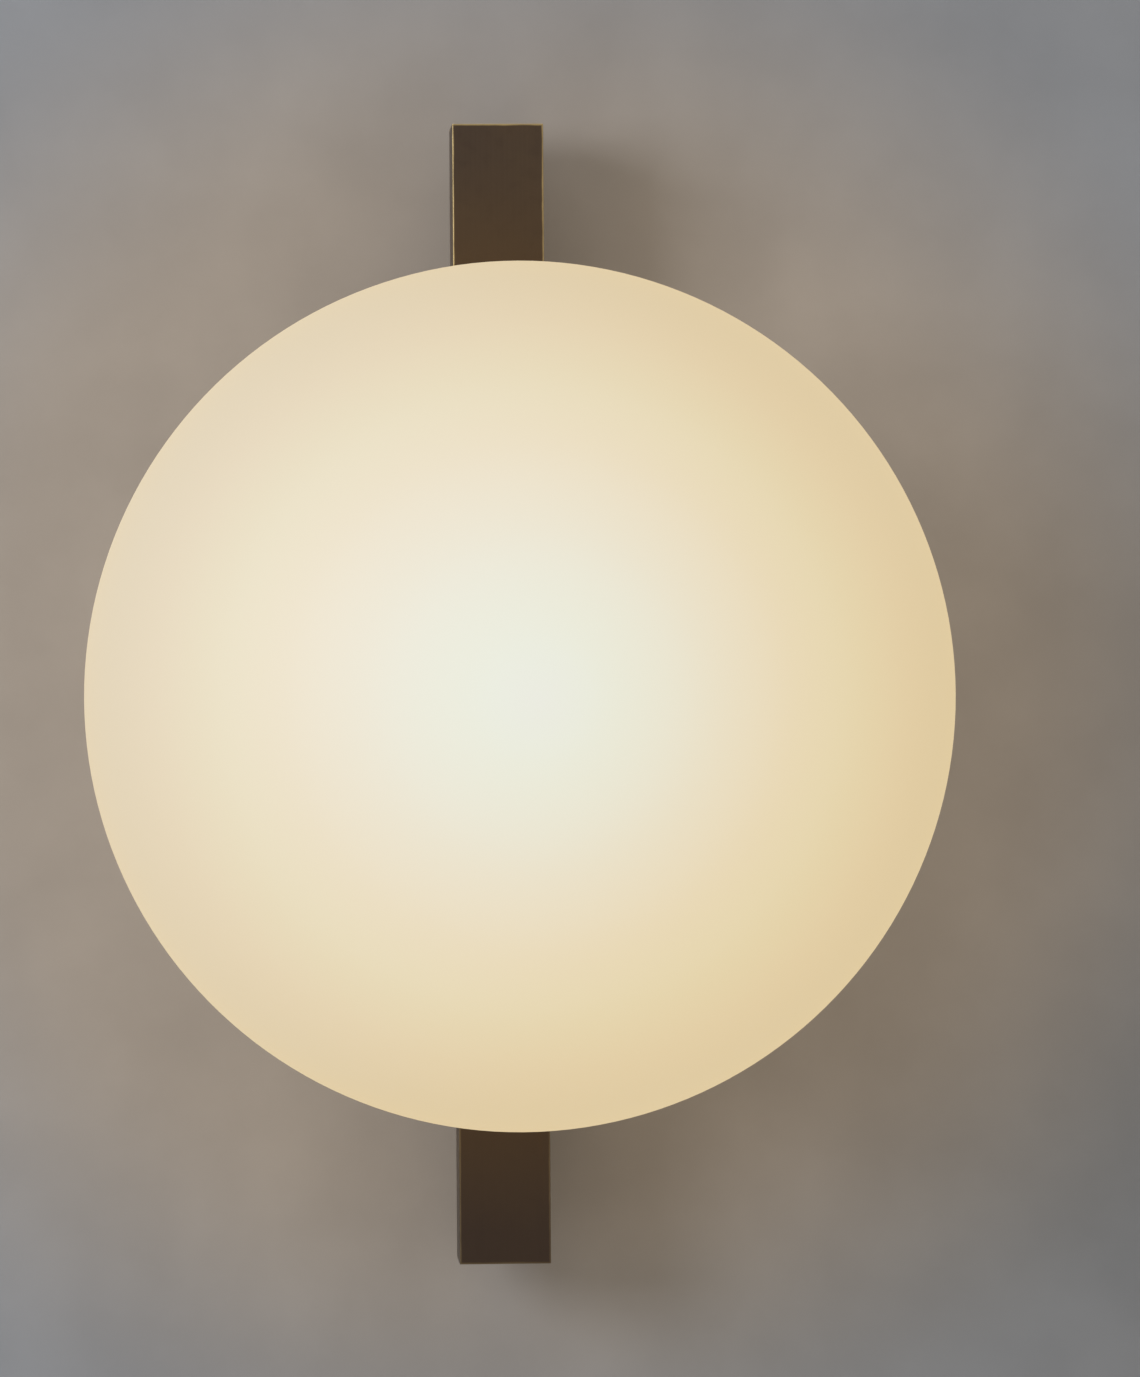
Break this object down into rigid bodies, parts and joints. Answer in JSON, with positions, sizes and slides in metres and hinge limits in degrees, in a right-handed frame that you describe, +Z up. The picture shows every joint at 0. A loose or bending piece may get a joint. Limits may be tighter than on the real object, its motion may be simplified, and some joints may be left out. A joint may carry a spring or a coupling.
{
  "type": "globe wall sconce",
  "caption": "Opal glass globe on a short neck, held by a fluted ring in front of an upright square brass bar that stands off the wall on a round canopy.",
  "frame": {"origin": "on the wall, at the middle of the two wall screws and on the globe's axis", "axes": "+Y into the wall, +Z up along the bar, +X to the right of someone who faces the light"},
  "size_m": [0.25, 0.3081, 0.35],
  "materials": {
    "opal_glass": "opal, satin, lit from inside",
    "patinated_brass": "dark patina, rubbed edges",
    "turned_brass": "turned, satin",
    "bright_brass": "bright",
    "zinc_plated_steel": "zinc plated",
    "nickel_shell": "satin",
    "black_phenolic": "moulded, glossy",
    "steatite": "unglazed",
    "silicone": "matte",
    "white_polyamide": "moulded",
    "brown_insulation": "smooth",
    "blue_insulation": "smooth",
    "green_insulation": "smooth, with a yellow stripe",
    "lamp_plastic": "moulded",
    "lamp_diffuser": "opal, lit from inside"
  },
  "bodies": {
    "fixture": {"bar_tube": "patinated_brass", "top_end_cap": "patinated_brass", "bottom_end_cap": "patinated_brass", "canopy": "patinated_brass", "side_screws": "patinated_brass", "gallery": "turned_brass", "locating_pin": "bright_brass", "screw_shell": "bright_brass", "contact_foot": "bright_brass", "contact_rivet": "bright_brass", "holder_terminals": "bright_brass", "terminal_sleeves": "bright_brass", "earth_tag": "bright_brass", "wall_plate": "zinc_plated_steel", "earth_screw": "zinc_plated_steel", "rivet_nuts": "zinc_plated_steel", "bar_screws": "zinc_plated_steel", "spacer_sleeve": "zinc_plated_steel", "nipple": "zinc_plated_steel", "rear_washer": "zinc_plated_steel", "rear_nut": "zinc_plated_steel", "toothed_washer": "zinc_plated_steel", "lock_nut": "zinc_plated_steel", "holder_screws": "zinc_plated_steel", "terminal_screws": "zinc_plated_steel", "block_screw": "zinc_plated_steel", "holder_cap": "black_phenolic", "holder_skirt": "black_phenolic", "holder_insert": "steatite", "rear_gasket": "silicone", "terminal_block": "white_polyamide", "wire_bush": "white_polyamide", "live_lead": "brown_insulation", "neutral_lead": "blue_insulation", "earth_lead": "green_insulation"},
    "tongue": {"contact_tongue": "bright_brass"},
    "globe": {"globe_glass": "opal_glass", "globe_back": "opal_glass", "globe_shoulder": "opal_glass"},
    "washer": {"slip_washer": "turned_brass"},
    "ring": {"retaining_ring": "turned_brass"},
    "lamp_tip": {"lamp_tip_contact": "nickel_shell"},
    "lamp": {"lamp_cap": "nickel_shell", "lamp_insulator": "black_phenolic", "lamp_body": "lamp_plastic", "lamp_dome": "lamp_diffuser"}
  },
  "joints": [
    {"name": "globe_off", "type": "slide", "parent": "fixture", "child": "globe", "axis": [0, -1, 0], "range_m": [0, 0.18]},
    {"name": "ring_advance", "type": "slide", "parent": "globe", "child": "washer", "axis": [0, -1, 0], "range_m": [0, 0.0045]},
    {"name": "ring_turn", "type": "hinge", "parent": "washer", "child": "ring", "pos_m": [0, -0.052, 0], "axis": [0, -1, 0], "range_deg": [0, 1080]},
    {"name": "bulb_out", "type": "slide", "parent": "fixture", "child": "lamp_tip", "axis": [0, -1, 0], "range_m": [0, 0.0181]},
    {"name": "bulb_turn", "type": "hinge", "parent": "lamp_tip", "child": "lamp", "pos_m": [0, -0.09, 0], "axis": [0, -1, 0], "range_deg": [0, 1800]},
    {"name": "contact_flex", "type": "hinge", "parent": "fixture", "child": "tongue", "pos_m": [0, -0.07555, -0.0033], "axis": [-1, 0, 0], "range_deg": [0, 10], "stiffness_Nm_per_rad": 0.5}
  ],
  "couplings": [
    {"joint": "ring_advance", "follows": "ring_turn", "m_per_rad": 0.00023873},
    {"joint": "bulb_out", "follows": "bulb_turn", "m_per_rad": 0.00057614}
  ]
}
